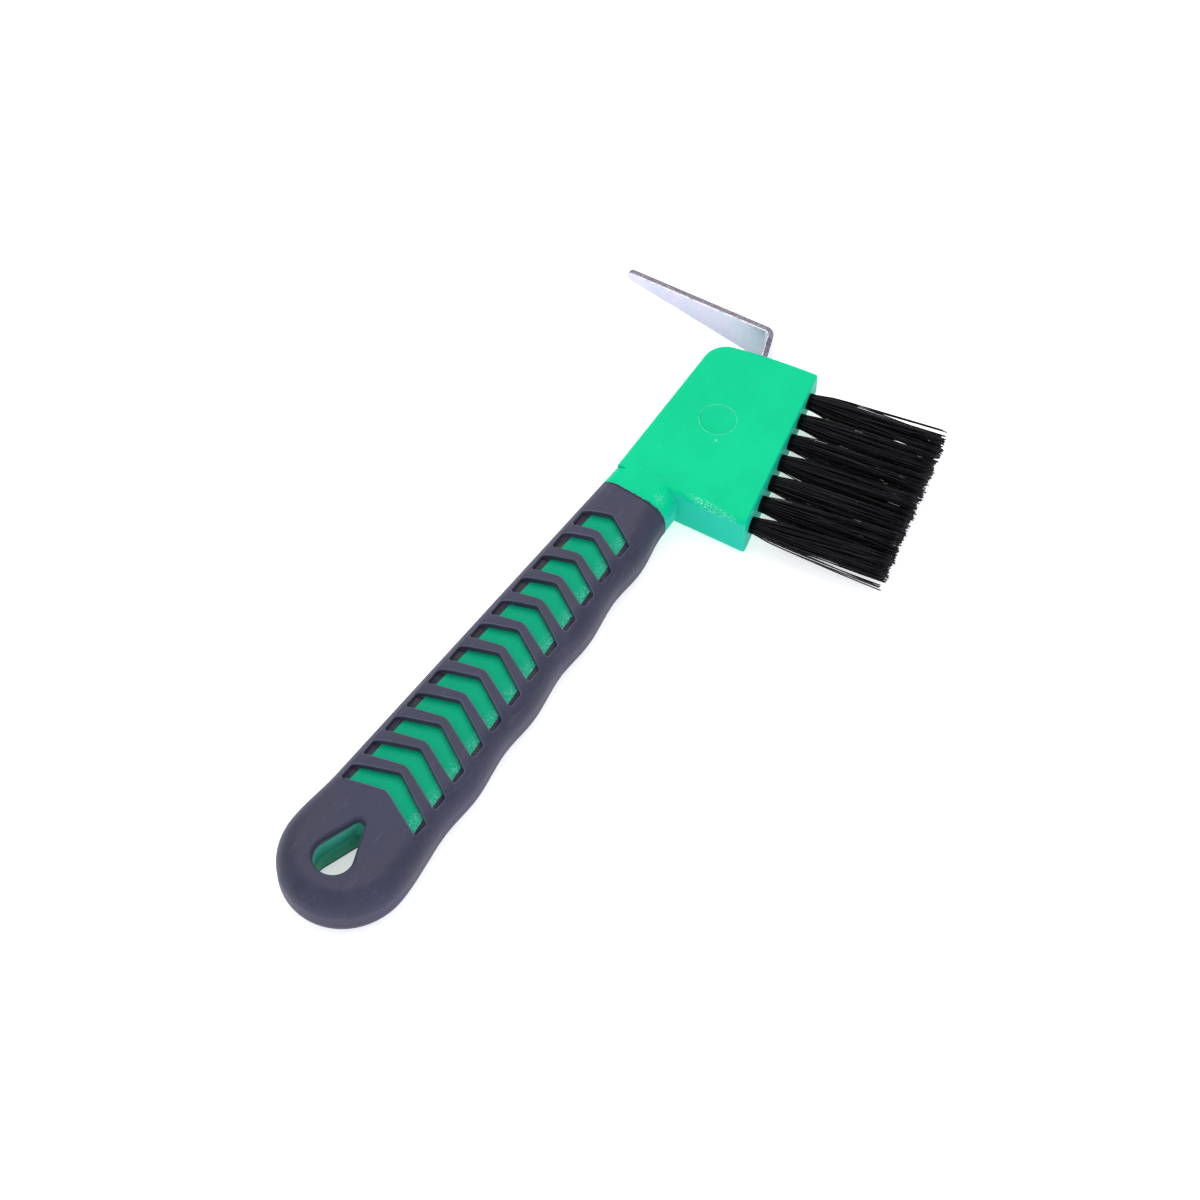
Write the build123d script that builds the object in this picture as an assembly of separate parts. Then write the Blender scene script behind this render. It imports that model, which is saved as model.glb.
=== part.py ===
"""Hoof pick with a bristle brush on its head.

A hard plastic body carries a soft moulded grip, a pressed steel hook and one row of bristle tufts,
each held in its hole by a small metal anchor.  All sizes are in millimetres.

Frame: the origin is the middle of the hanging hole's round end, on the mould's parting plane.
+Y runs along the handle to the head, +X points out through the brush, and +Z is the upper face.
The hole and the window apexes stand on x = 0; the handle's own centreline runs beside them.
"""
from build123d import *
import math
import os

# Handle outline, seen from above
grip_axis_x = 0.7           # centreline of the handle's two sides
grip_end_y = 111.15         # where the soft grip stops and the bare neck starts
grip_end_half = 8.8         # half width at that end
heel_y = 17.5               # where the straight sides run out into the round tail
heel_half = 13.4            # half width there
tail_widest_y = 3.5         # widest place of the tail
tail_half = 14.7            # half width of the tail
tail_end_y = -12.1          # lowest point of the tail
grip_tail_thick = 6.5       # half thickness of the handle at the hole
grip_end_thick = 6.3        # half thickness at the grip's upper end
grip_side_flat = 1.1        # half height of the flat that the roundings leave on the neck's side

# Finger bumps on the brush side
bump_count = 4
bump_height = 0.85          # how far each bump stands proud of the straight side
bump_rise = 9.0             # length of the bump's short slope, on its tail side
bump_first_gap = 14.5       # from the heel to the first bump's crest
bump_last_gap = 11.5        # from the last bump's crest to the grip's end
bump_run_out = 4.0          # the side is straight again this far below the grip's end

# Hanging hole: a teardrop with its narrow end towards the head
hole_round = 4.4            # radius of the round end
hole_tip_round = 1.3        # radius of the narrow end
hole_tip_y = 8.9            # centre of the narrow end
hole_ledge = 0.3            # the lower mould half leaves the hole this much smaller
hole_rim_round = 0.9        # soft rim of the grip around the hole

# Soft grip and the core bar under it
skin_side = 1.3             # grip thickness at the sides
skin_face = 1.8             # grip thickness over the flat faces
core_edge_round = 3.0       # rounding of the core bar's long edges
core_neck_root = 1.0        # how far the bar runs up inside the neck

# Chevron windows through the grip, on both faces
window_count = 12
window_first_y = 24.2       # outer apex of the window next to the hole
window_last_gap = 7.2       # from the last window's apex to the grip's end
window_apex_band = 5.1      # height of a window at its apex
window_slope_back = 0.385   # fall of the outer edge towards the plain side
window_slope_front = 0.584  # fall of the outer edge towards the brush side
window_taper = 0.10         # each arm narrows by this much per millimetre
window_margin = 2.2         # rubber left between a window's end and the side
window_corner = 0.6         # rounding of the corners at a window's ends
window_apex_round = 1.5     # rounding of its outer apex
window_inner_round = 3.0    # rounding of its inner apex

# Head block
neck_length = 7.32          # from the grip's end to the shoulder's outer corner
head_reach = 25.67          # x of the shoulder's outer corner
shoulder_fall = 5.9         # degrees; the shoulder falls towards the neck
face_turn = 12.09           # degrees; the brush face leans back over the handle
face_length = 46.4          # length of the brush face
head_back_inset = 1.0       # the head's plain side stands inside the grip's side
head_back_lean = 2.0        # degrees; the plain side leans outwards towards the far edge
far_edge_turn = 1.3         # degrees; the far edge falls towards the plain side
far_edge_bow = 0.6          # the far edge bows outwards this much
head_near_thick = 6.2       # half thickness at the shoulder
head_far_thick = 3.65       # half thickness at the far edge
head_corner_round = 6.0     # plan rounding of the far back corner
head_edge_round = 1.4       # rounding along the plain side and the far edge
shoulder_edge_round = 1.3   # rounding along the shoulder
brush_edge_round = 0.45     # rounding all around the brush face
mark_radius = 4.15          # shallow round mark on the upper face
mark_depth = 0.25
mark_from_shoulder = 24.94  # along the brush face from the shoulder corner
mark_from_face = 16.25      # square in from the brush face

# Brush: one row of round tufts
tuft_count = 7
tuft_near_gap = 4.44        # from the shoulder corner to the nearest tuft's centre
tuft_far_gap = 5.72         # from the far corner to the last tuft's centre
tuft_root_radius = 1.75
tuft_hole_gap = 0.05        # side clearance of a tuft in its hole
tuft_hole_depth = 9.0
tuft_length = 32.2          # bristle length outside the head
tuft_tip_draw = 0.22        # the tips stand this much closer together than the roots
tuft_row_lean = -0.6        # the whole row of tips leans this far towards the shoulder
tuft_tip_gap = 0.1          # gap between neighbouring tufts at their tips
tuft_tip_thick = 3.9        # tip half thickness across the row
tuft_straight = 1.0         # the tuft stays round this far above the face
tuft_meet = 9.5             # where neighbouring tufts close up
tuft_meet_gap = 0.34        # gap left between them there
tuft_meet_thick = 2.7       # half thickness across the row there
anchor_height = 1.8         # anchor plate, along the tuft
anchor_thick = 0.45
anchor_bite = 0.5           # how far the plate bites into the plastic on each side
anchor_floor_gap = 0.9      # bristle loop between the anchor and the bottom of the hole

# Hook: a steel strip with its wide side upright
strip_thick = 1.4
hook_from_face = 13.2       # from the brush face to the strip's middle line
hook_rise = 5.15            # from the head's far edge to the bend's corner
hook_arm_fall = 1.65        # degrees; the arm falls slightly towards its tip
hook_arm_length = 39.2      # from the bend's corner to the tip
hook_bend_radius = 1.5      # inside radius of the bend
hook_wide = 12.6            # strip width at the bend
hook_tip_wide = 3.0         # width at the tip, which is rounded
hook_neck_cover = 0.45      # plastic above and below the strip where it enters the head
hook_neck_stub = 0.3        # this narrow width shows outside the head
hook_shoulder = 2.8         # length of the slope between the two widths
tang_depth = 22.0           # length of the strip inside the head
tang_hole_radius = 1.5      # hole in the tang that the plastic fills
tang_hole_depth = 14.0      # its distance from the far edge

# ---- Values worked out from the sizes above ----
turn = math.radians(face_turn)
along_face = Vector(-math.sin(turn), math.cos(turn), 0)       # from the shoulder to the far edge
out_of_face = Vector(math.cos(turn), math.sin(turn), 0)       # the way the bristles point
shoulder_corner = Vector(head_reach, grip_end_y + neck_length, 0)
far_corner = shoulder_corner + along_face * face_length
side_taper = (heel_half - grip_end_half) / (grip_end_y - heel_y)
thick_taper = (grip_tail_thick - grip_end_thick) / grip_end_y
bump_pitch = (grip_end_y - heel_y - bump_first_gap - bump_last_gap) / (bump_count - 1)
window_pitch = (grip_end_y - window_last_gap - window_first_y) / (window_count - 1)
blank_top_y = grip_end_y + neck_length
grip_round = grip_end_thick - thick_taper * neck_length - grip_side_flat    # rounding of the handle's long edges
tuft_pitch = (face_length - tuft_near_gap - tuft_far_gap) / (tuft_count - 1)
tuft_tip_pitch = tuft_pitch - tuft_tip_draw
tuft_meet_half = (tuft_pitch - tuft_meet_gap) / 2                           # half widths along the row
tuft_tip_half = (tuft_tip_pitch - tuft_tip_gap) / 2
hook_neck_wide = 2 * (head_far_thick - hook_neck_cover)                     # width where the strip enters the head
span = 2 * grip_end_y       # longer and wider than anything it cuts
tall = 4 * grip_tail_thick  # more than the height of anything in the model
touch = 0.1                 # edges closer to a line than this lie on it


def side_half(y):
    """Half width of the handle's straight sides at y."""
    return grip_end_half + side_taper * (grip_end_y - y)


def handle_thick(y):
    """Half thickness of the handle at y."""
    return grip_end_thick + thick_taper * (grip_end_y - y)


def head_thick(s):
    """Half thickness of the head at s along the brush face."""
    return head_near_thick + (head_far_thick - head_near_thick) * s / face_length


def on_head(s, out):
    """Point on the parting plane at s along the brush face and out square from it."""
    return shoulder_corner + along_face * s + out_of_face * out


def slab(face, half):
    """Plan face raised to a slab, the same height above and below the parting plane."""
    return extrude(face, amount=half, both=True)


def broad_faces(solid):
    """The solid's upper and lower faces."""
    return [f for f in solid.faces() if abs(f.normal_at().Z) > 0.9]


def outline_edges(solid):
    """Edges around the solid's broad faces."""
    return ShapeList(e for f in broad_faces(solid) for e in f.outer_wire().edges())


def opening_edges(solid):
    """Edges of the openings in the solid's broad faces."""
    return ShapeList(e for f in broad_faces(solid) for w in f.inner_wires() for e in w.edges())


def on_line(edges, start, direction):
    """The edges that lie straight above or below a plan line."""
    across = Vector(-direction.Y, direction.X, 0).normalized()
    return edges.filter_by(lambda e: all(abs((v.center() - start).dot(across)) < touch for v in e.vertices()))


# ---- Handle ----
def handle_wedge(low, high, inset):
    """Block between the handle's two tapering faces, both moved inwards by inset."""
    low_half, high_half = handle_thick(low) - inset, handle_thick(high) - inset
    profile = Plane.YZ * Polygon(
        (low, -low_half), (high, -high_half), (high, high_half), (low, low_half), align=None)
    return extrude(profile, amount=span, both=True)


def rounded_bar(plan, top_y, inset, radius):
    """Plan face raised between the handle's faces, its long edges rounded and its upper end cut square."""
    bar = (slab(plan, tall) & handle_wedge(2 * tail_end_y, top_y, inset)).solid()
    long_edges = outline_edges(bar).filter_by(lambda e: e.center().Y < top_y - touch)
    return fillet(long_edges, radius)


def bump_side():
    """Points up the brush side: a valley and a crest for each finger bump."""
    points = []
    for i in range(bump_count):
        crest = heel_y + bump_first_gap + i * bump_pitch
        valley = crest - bump_rise
        points.append((grip_axis_x + side_half(valley), valley))
        points.append((grip_axis_x + side_half(crest) + bump_height, crest))
    return points


def handle_outline():
    """Plan face of the whole handle, with its round tail and finger bumps."""
    left_top = (grip_axis_x - side_half(blank_top_y), blank_top_y)
    right_top = (grip_axis_x + side_half(blank_top_y), blank_top_y)
    heel = (grip_axis_x - side_half(heel_y), heel_y)
    widest_left = (grip_axis_x - tail_half, tail_widest_y)
    widest_right = (grip_axis_x + tail_half, tail_widest_y)
    straight_y = grip_end_y - bump_run_out
    last_valley = (grip_axis_x + side_half(straight_y), straight_y)
    left = Line(left_top, heel)
    left_tail = Spline(heel, widest_left, tangents=[(-side_taper, -1), (0, -1)])
    tail = EllipticalCenterArc(
        (grip_axis_x, tail_widest_y), tail_half, tail_widest_y - tail_end_y, start_angle=180, arc_size=180)
    right = Spline(widest_right, *bump_side(), last_valley, right_top, tangents=[(0, 1), (-side_taper, 1)])
    top = Line(right_top, left_top)
    return make_face([left, left_tail, tail, right, top])


def handle_blank():
    """Outer shape of grip and neck in one rounded solid."""
    return rounded_bar(handle_outline(), blank_top_y, 0, grip_round)


def teardrop(grow):
    """Plan face of the hanging hole, grown by a margin all round."""
    big, small = hole_round + grow, hole_tip_round + grow
    lean = math.asin((big - small) / hole_tip_y)
    side, up = math.cos(lean), math.sin(lean)
    low_right, low_left = (big * side, big * up), (-big * side, big * up)
    high_right = (small * side, hole_tip_y + small * up)
    high_left = (-small * side, hole_tip_y + small * up)
    return make_face([
        ThreePointArc(low_left, (0, -big), low_right),
        Line(low_right, high_right),
        ThreePointArc(high_right, (0, hole_tip_y + small), high_left),
        Line(high_left, low_left)])


def core_bar():
    """Hard bar under the soft grip, with its round end about the hole."""
    top_y = grip_end_y + core_neck_root
    top_w, heel_w, tail_w = side_half(top_y) - skin_side, side_half(heel_y) - skin_side, tail_half - skin_side
    top_left, top_right = (grip_axis_x - top_w, top_y), (grip_axis_x + top_w, top_y)
    heel_left, heel_right = (grip_axis_x - heel_w, heel_y), (grip_axis_x + heel_w, heel_y)
    widest_left, widest_right = (grip_axis_x - tail_w, tail_widest_y), (grip_axis_x + tail_w, tail_widest_y)
    plan = make_face([
        Line(top_left, heel_left),
        Spline(heel_left, widest_left, tangents=[(-side_taper, -1), (0, -1)]),
        EllipticalCenterArc((grip_axis_x, tail_widest_y), tail_w, tail_widest_y - tail_end_y - skin_side,
                            start_angle=180, arc_size=180),
        Spline(widest_right, heel_right, tangents=[(0, 1), (-side_taper, 1)]),
        Line(heel_right, top_right),
        Line(top_right, top_left)])
    return rounded_bar(plan, top_y, skin_face, core_edge_round)


def above_grip_end():
    """Everything past the grip's upper end."""
    return Pos(0, grip_end_y, 0) * Box(span, span, tall, align=(Align.CENTER, Align.MIN, Align.CENTER))


def rounded(plan, corners, radius):
    """Plan face with the corners nearest to the given points rounded."""
    for corner in corners:
        plan = fillet(plan.vertices().sort_by_distance(corner)[0], radius)
    return plan


def window(i):
    """Chevron prism of window i, from the core's face up through the grip."""
    apex = window_first_y + i * window_pitch
    inner = apex - window_apex_band
    right_x = grip_axis_x + side_half(apex) - window_margin
    left_x = grip_axis_x - side_half(apex) + window_margin
    inner_back, inner_front = window_slope_back - window_taper, window_slope_front - window_taper
    ends = [
        (left_x, apex + window_slope_back * left_x), (left_x, inner + inner_back * left_x),
        (right_x, inner - inner_front * right_x), (right_x, apex - window_slope_front * right_x)]
    plan = Polygon((0, apex), *ends[:2], (0, inner), *ends[2:], align=None)
    plan = rounded(plan, ends, window_corner)
    plan = rounded(plan, [(0, apex)], window_apex_round)
    plan = rounded(plan, [(0, inner)], window_inner_round)
    floor = handle_thick(apex) - skin_face
    return Pos(0, 0, floor) * extrude(plan, amount=tall)


def grip_sleeve(blank, bar):
    """Soft grip: the handle's outer shape less the core bar, the hole and the windows."""
    sleeve = blank - above_grip_end() - slab(teardrop(0), tall)
    sleeve = fillet(opening_edges(sleeve), hole_rim_round)
    uppers = [window(i) for i in range(window_count)]
    lowers = [mirror(upper, about=Plane.XY) for upper in uppers]
    return sleeve - bar - uppers - lowers


# ---- Head ----
def shoulder_inner():
    """Point where the shoulder line runs out inside the neck."""
    x = grip_axis_x + side_half(blank_top_y) - grip_round
    return Vector(x, shoulder_corner.Y - (shoulder_corner.X - x) * math.tan(math.radians(shoulder_fall)), 0)


def plain_side():
    """Foot and direction of the head's plain side."""
    lean = math.radians(head_back_lean)
    foot = Vector(grip_axis_x - grip_end_half + head_back_inset, shoulder_inner().Y, 0)
    return foot, Vector(-math.sin(lean), math.cos(lean), 0)


def neck(blank):
    """Bare neck: the handle's shape past the grip's end, led into the head's plain side."""
    foot, back = plain_side()
    low = Vector(grip_axis_x - grip_end_half, grip_end_y, 0)
    high = foot + back * ((blank_top_y - foot.Y) / back.Y)
    reach = Vector(span, 0, 0)
    keep = make_face(Polyline(low, high, high + reach, low + reach, low))
    return blank & slab(keep, tall)


def head_plan():
    """Plan face of the head, with its far back corner rounded."""
    inner = shoulder_inner()
    low, back = plain_side()
    square = along_face.rotate(Axis.Z, far_edge_turn)
    far_back = low + back * ((far_corner - low).dot(square) / back.dot(square))
    plan = make_face([
        Polyline(far_back, low, inner, shoulder_corner, far_corner),
        ThreePointArc(far_corner, (far_corner + far_back) / 2 + square * far_edge_bow, far_back)])
    return fillet(plan.vertices().sort_by_distance(far_back)[0], head_corner_round)


def head_wedge():
    """Block between the head's two tapering faces, of even height below the shoulder."""
    near, end = -span, face_length + head_near_thick
    side = Plane(origin=shoulder_corner, x_dir=along_face, z_dir=out_of_face)
    profile = side * Polygon(
        (near, -head_near_thick), (0, -head_near_thick), (end, -head_thick(end)),
        (end, head_thick(end)), (0, head_near_thick), (near, head_near_thick), align=None)
    return extrude(profile, amount=span, both=True)


def head_block():
    """Tapered head: soft edges on the plain side, a crisp brush face."""
    head = (slab(head_plan(), tall) & head_wedge()).solid()
    rim = outline_edges(head)
    brush = on_line(rim, shoulder_corner, along_face)
    soft = rim.filter_by(lambda e: e.center().Y > shoulder_corner.Y + touch and e not in brush)
    head = fillet(soft, head_edge_round)
    shoulder = on_line(outline_edges(head), shoulder_corner, shoulder_corner - shoulder_inner())
    head = fillet(shoulder, shoulder_edge_round)
    brush_face = head.faces().sort_by(lambda f: f.center().dot(out_of_face))[-1]
    return fillet(brush_face.outer_wire().edges(), brush_edge_round)


def mark_recess():
    """Shallow round mark sunk into the head's upper face."""
    centre = on_head(mark_from_shoulder, -mark_from_face)
    floor = head_thick(mark_from_shoulder) - mark_depth
    return Pos(centre.X, centre.Y, floor) * Cylinder(
        mark_radius, tall, align=(Align.CENTER, Align.CENTER, Align.MIN))


# ---- Brush ----
def tuft_plane(i):
    """Plane on the brush face at tuft i, looking out along the bristles."""
    centre = on_head(tuft_near_gap + i * tuft_pitch, 0)
    return Plane(origin=centre, x_dir=along_face, z_dir=out_of_face)


def tuft_anchor(i):
    """Thin metal plate driven into tuft i's hole, biting into the plastic on both sides."""
    width = 2 * (tuft_root_radius + tuft_hole_gap + anchor_bite)
    plate = Box(width, anchor_thick, anchor_height, align=(Align.CENTER, Align.CENTER, Align.MIN))
    return tuft_plane(i) * Pos(0, 0, anchor_floor_gap - tuft_hole_depth) * plate


def tuft_hole(i):
    """Blind round hole for tuft i."""
    return tuft_plane(i) * Cylinder(tuft_root_radius + tuft_hole_gap, 2 * tuft_hole_depth)


def tuft(i):
    """Bristle tuft i as one closed shape: round in its hole, then spreading out to its cut end."""
    lean = tuft_row_lean + (i - (tuft_count - 1) / 2) * (tuft_tip_pitch - tuft_pitch)
    sections = [
        Pos(0, 0, tuft_straight) * Circle(tuft_root_radius),
        Pos(lean * tuft_meet / tuft_length, 0, tuft_meet) * Ellipse(tuft_meet_half, tuft_meet_thick),
        Pos(lean, 0, tuft_length) * Ellipse(tuft_tip_half, tuft_tip_thick)]
    root = Cylinder(tuft_root_radius, tuft_hole_depth + tuft_straight,
                    align=(Align.CENTER, Align.CENTER, Align.MIN))
    spread = loft(sections, ruled=True)
    return tuft_plane(i) * (Pos(0, 0, -tuft_hole_depth) * root + spread) - tuft_anchor(i)


# ---- Hook ----
def arm_profile():
    """Side view of the hook's arm: it narrows from the bend to its round tip."""
    tip = hook_tip_wide / 2
    half = hook_wide / 2
    reach = hook_arm_length - tip
    return make_face([
        Line((-hook_wide, -half), (0, -half)),
        Line((0, -half), (reach, -tip)),
        ThreePointArc((reach, -tip), (hook_arm_length, 0), (reach, tip)),
        Line((reach, tip), (0, half)),
        Line((0, half), (-hook_wide, half)),
        Line((-hook_wide, half), (-hook_wide, -half))])


def tang_profile():
    """Side view of the hook's tang: narrow in the head, at full width below the bend."""
    neck, half = hook_neck_wide / 2, hook_wide / 2
    out = tang_depth + hook_neck_stub
    end = tang_depth + hook_rise + hook_wide
    return make_face(Polyline(
        (0, -neck), (out, -neck), (out + hook_shoulder, -half), (end, -half),
        (end, half), (out + hook_shoulder, half), (out, neck), (0, neck), close=True))


def hook():
    """Steel strip: a tang in the head, a bend, and an arm that narrows to a round tip."""
    fall = math.radians(hook_arm_fall)
    arm = Vector(-math.cos(fall), -math.sin(fall), 0)
    start = on_head(face_length - tang_depth, -hook_from_face)
    corner = on_head(face_length + hook_rise, -hook_from_face)
    path = FilletPolyline(start, corner, corner + arm * hook_arm_length, radius=hook_bend_radius + strip_thick / 2)
    section = Plane(origin=start, x_dir=out_of_face, z_dir=along_face) * Rectangle(strip_thick, hook_wide)
    strip = sweep(section, path=path)
    arm_plane = Plane(origin=corner, x_dir=arm, z_dir=Vector(0, 0, 1).cross(arm))
    arm_shape = extrude(arm_plane * arm_profile(), amount=span, both=True)
    tang_plane = Plane(origin=start, x_dir=along_face, z_dir=-out_of_face)
    tang_shape = extrude(tang_plane * tang_profile(), amount=span, both=True)
    rivet_hole = tang_plane * Pos(tang_depth - tang_hole_depth, 0, 0) * Cylinder(tang_hole_radius, hook_wide)
    return (strip & arm_shape & tang_shape) - rivet_hole


def core_body(blank, bar, steel):
    """Hard body: core bar, neck and head in one moulding, with every hole and pocket in it."""
    body = head_block() + neck(blank) + bar
    upper_hole = extrude(teardrop(0), amount=tall)
    lower_hole = extrude(teardrop(-hole_ledge), amount=-tall)
    holes = [tuft_hole(i) for i in range(tuft_count)]
    anchors = [tuft_anchor(i) for i in range(tuft_count)]
    return body - upper_hole - lower_hole - mark_recess() - holes - anchors - steel


if __name__ == "__main__":
    blank = handle_blank()
    bar = core_bar()
    steel = hook()
    parts = {
        "core_body": core_body(blank, bar, steel),
        "grip_sleeve": grip_sleeve(blank, bar),
        "hook": steel,
    }
    for i in range(tuft_count):
        parts[f"tuft_{i + 1}"] = tuft(i)
        parts[f"tuft_anchor_{i + 1}"] = tuft_anchor(i)
    os.makedirs("parts", exist_ok=True)
    for name, shape in parts.items():
        shape.label = name
        export_step(shape, f"parts/{name}.step")
        print(name, round(shape.volume, 1), shape.is_valid, len(shape.solids()))
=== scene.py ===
"""Studio scene of a hoof pick.

A green moulded body carries a soft rubber grip, a zinc-plated steel hook and one row of black
nylon tufts.  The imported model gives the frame: every place below is taken from its nodes.
Lengths in the classes are millimetres, as the maker writes them, and MM turns them into metres.
"""

import logging
import math
import random
from dataclasses import dataclass, field, replace
from enum import Enum

import bmesh
import bpy
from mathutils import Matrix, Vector, noise
from mathutils.bvhtree import BVHTree


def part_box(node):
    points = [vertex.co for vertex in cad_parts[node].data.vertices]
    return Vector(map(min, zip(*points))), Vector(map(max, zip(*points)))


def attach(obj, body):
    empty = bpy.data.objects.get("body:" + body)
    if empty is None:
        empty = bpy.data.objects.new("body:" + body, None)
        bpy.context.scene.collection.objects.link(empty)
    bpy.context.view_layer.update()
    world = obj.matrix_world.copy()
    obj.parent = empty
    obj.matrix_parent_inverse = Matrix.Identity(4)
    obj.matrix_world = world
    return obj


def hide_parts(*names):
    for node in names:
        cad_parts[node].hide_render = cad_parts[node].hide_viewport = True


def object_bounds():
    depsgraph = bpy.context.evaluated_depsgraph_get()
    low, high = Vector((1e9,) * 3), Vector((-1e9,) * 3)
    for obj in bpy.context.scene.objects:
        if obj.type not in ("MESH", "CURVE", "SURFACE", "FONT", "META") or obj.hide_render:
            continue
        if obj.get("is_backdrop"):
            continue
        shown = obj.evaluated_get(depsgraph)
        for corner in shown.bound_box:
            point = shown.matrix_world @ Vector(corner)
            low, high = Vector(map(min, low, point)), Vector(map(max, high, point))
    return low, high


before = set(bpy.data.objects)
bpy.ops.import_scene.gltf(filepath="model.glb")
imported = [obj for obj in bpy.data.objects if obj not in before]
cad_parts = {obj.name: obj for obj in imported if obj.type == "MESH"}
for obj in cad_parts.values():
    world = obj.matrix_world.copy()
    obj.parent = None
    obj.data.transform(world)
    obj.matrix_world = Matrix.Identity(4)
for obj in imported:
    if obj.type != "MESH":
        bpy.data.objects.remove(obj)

MM = 0.001
BODY = "root"
log = logging.getLogger("hoof_pick")

Colour = tuple[float, float, float]
Socket = bpy.types.NodeSocket
Material = bpy.types.Material
Piece = bpy.types.Object
Mesh = bmesh.types.BMesh
Edge = bmesh.types.BMEdge


class Slot(Enum):
    """The record's material slots."""

    GREEN = "green_plastic"
    GRIP = "soft_grip"
    STEEL = "zinc_steel"
    BRISTLE = "bristle"
    ANCHOR = "anchor_metal"


class Face(Enum):
    """The finishes on a pressed strip, by the order of its material slots."""

    PLATED = 0
    SHEARED = 1
    ROLLED = 2


def mm(x: float, y: float, z: float) -> Vector:
    """A point or size given in millimetres, in metres."""
    return Vector((x, y, z)) * MM


def middle(node: str) -> Vector:
    """The middle of a node's box."""
    low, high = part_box(node)
    return (low + high) / 2


# ---- Node trees ----
class NodeBoard:
    """Builds one material's nodes around a Principled shader, with coordinates in millimetres."""

    def __init__(self, name: str) -> None:
        """Starts an empty material.

        Args:
            name: The material's name.
        """
        self.material = bpy.data.materials.new(name)
        self.material.use_nodes = True
        self.tree = self.material.node_tree
        self.tree.nodes.clear()
        self.shader = self.node("ShaderNodeBsdfPrincipled")
        output = self.node("ShaderNodeOutputMaterial")
        self.tree.links.new(self.shader.outputs["BSDF"], output.inputs["Surface"])
        coordinates = self.node("ShaderNodeTexCoord")
        scaled = self.node("ShaderNodeVectorMath", operation="SCALE")
        self.feed(scaled.inputs[0], coordinates.outputs["Object"])
        self.fill(scaled, Scale=1 / MM)
        self.place = scaled.outputs["Vector"]

    def node(self, kind: str, **settings: object) -> bpy.types.Node:
        """Adds a node.

        Args:
            kind: The node's type.
            settings: Properties to set on it.

        Returns:
            The new node.
        """
        made = self.tree.nodes.new(kind)
        for key, value in settings.items():
            setattr(made, key, value)
        return made

    def feed(self, socket: Socket, value: object) -> None:
        """Links a socket into another, or sets its value.

        Args:
            socket: The input.
            value: An output to link from, or a plain value.
        """
        if isinstance(value, Socket):
            self.tree.links.new(value, socket)
        elif isinstance(value, tuple) and socket.type == "RGBA":
            socket.default_value = (*value, 1.0)
        else:
            socket.default_value = value

    def fill(self, node: bpy.types.Node, **values: object) -> None:
        """Sets or links a node's inputs, named with underscores for spaces."""
        for name, value in values.items():
            self.feed(node.inputs[name.replace("_", " ")], value)

    def set(self, **values: object) -> None:
        """Sets or links the shader's own inputs."""
        self.fill(self.shader, **values)

    def stretched(self, x: float, y: float, z: float, at: Socket | None = None) -> Socket:
        """The coordinates, each axis multiplied, for grain that runs one way.

        Args:
            x: Multiplier along X.
            y: Multiplier along Y.
            z: Multiplier along Z.
            at: Coordinates to use in place of the plain ones.

        Returns:
            The new coordinates.
        """
        made = self.node("ShaderNodeVectorMath", operation="MULTIPLY")
        self.feed(made.inputs[0], at or self.place)
        self.feed(made.inputs[1], (x, y, z))
        return made.outputs["Vector"]

    def turned(self, degrees: float) -> Socket:
        """The coordinates turned about Z, so that X runs along a piece set at that angle.

        Args:
            degrees: The piece's angle.

        Returns:
            The new coordinates.
        """
        made = self.node("ShaderNodeVectorRotate", rotation_type="Z_AXIS")
        self.fill(made, Vector=self.place, Angle=math.radians(degrees))
        return made.outputs["Vector"]

    def grain(
            self, per_mm: float, detail: float = 2.0, twist: float = 0.0,
            at: Socket | None = None) -> Socket:
        """Soft noise from 0 to 1.

        Args:
            per_mm: How many features fit in a millimetre.
            detail: Number of finer layers.
            twist: How much the pattern is drawn out of shape.
            at: Coordinates to use in place of the plain ones.

        Returns:
            The noise's value.
        """
        made = self.node("ShaderNodeTexNoise")
        self.fill(made, Vector=at or self.place, Scale=per_mm, Detail=detail, Distortion=twist)
        return made.outputs["Fac"]

    def range(
            self, value: Socket, low: float, high: float,
            to_low: float = 0.0, to_high: float = 1.0) -> Socket:
        """Maps a value's span smoothly onto another.

        Args:
            value: The value to map.
            low: Start of its span.
            high: End of its span.
            to_low: What the start becomes.
            to_high: What the end becomes.

        Returns:
            The mapped value, held within the new span.
        """
        made = self.node("ShaderNodeMapRange", interpolation_type="SMOOTHSTEP")
        self.fill(made, Value=value, From_Min=low, From_Max=high, To_Min=to_low, To_Max=to_high)
        return made.outputs["Result"]

    def math(self, operation: str, a: object, b: object = 0.0) -> Socket:
        """One sum on two values.

        Args:
            operation: The sum's name.
            a: First value.
            b: Second value, for sums that take two.

        Returns:
            The result.
        """
        made = self.node("ShaderNodeMath", operation=operation)
        self.feed(made.inputs[0], a)
        self.feed(made.inputs[1], b)
        return made.outputs["Value"]

    def mix(self, share: object, a: object, b: object) -> Socket:
        """Blends two colours.

        Args:
            share: How much of the second colour shows, from 0 to 1.
            a: First colour.
            b: Second colour.

        Returns:
            The blended colour.
        """
        made = self.node("ShaderNodeMix", data_type="RGBA")
        self.feed(made.inputs[0], share)
        self.feed(made.inputs[6], a)
        self.feed(made.inputs[7], b)
        return made.outputs[2]

    def tint(self, colour: object, share: Socket, strength: float, over: Colour) -> Socket:
        """Lets a second colour show over the first, by a share from 0 to 1 and a strength."""
        return self.mix(self.math("MULTIPLY", share, strength), colour, over)

    def axes(self) -> tuple[Socket, Socket, Socket]:
        """The three coordinates apart, in millimetres.

        Returns:
            X, Y and Z.
        """
        made = self.node("ShaderNodeSeparateXYZ")
        self.feed(made.inputs[0], self.place)
        return made.outputs[0], made.outputs[1], made.outputs[2]

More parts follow.
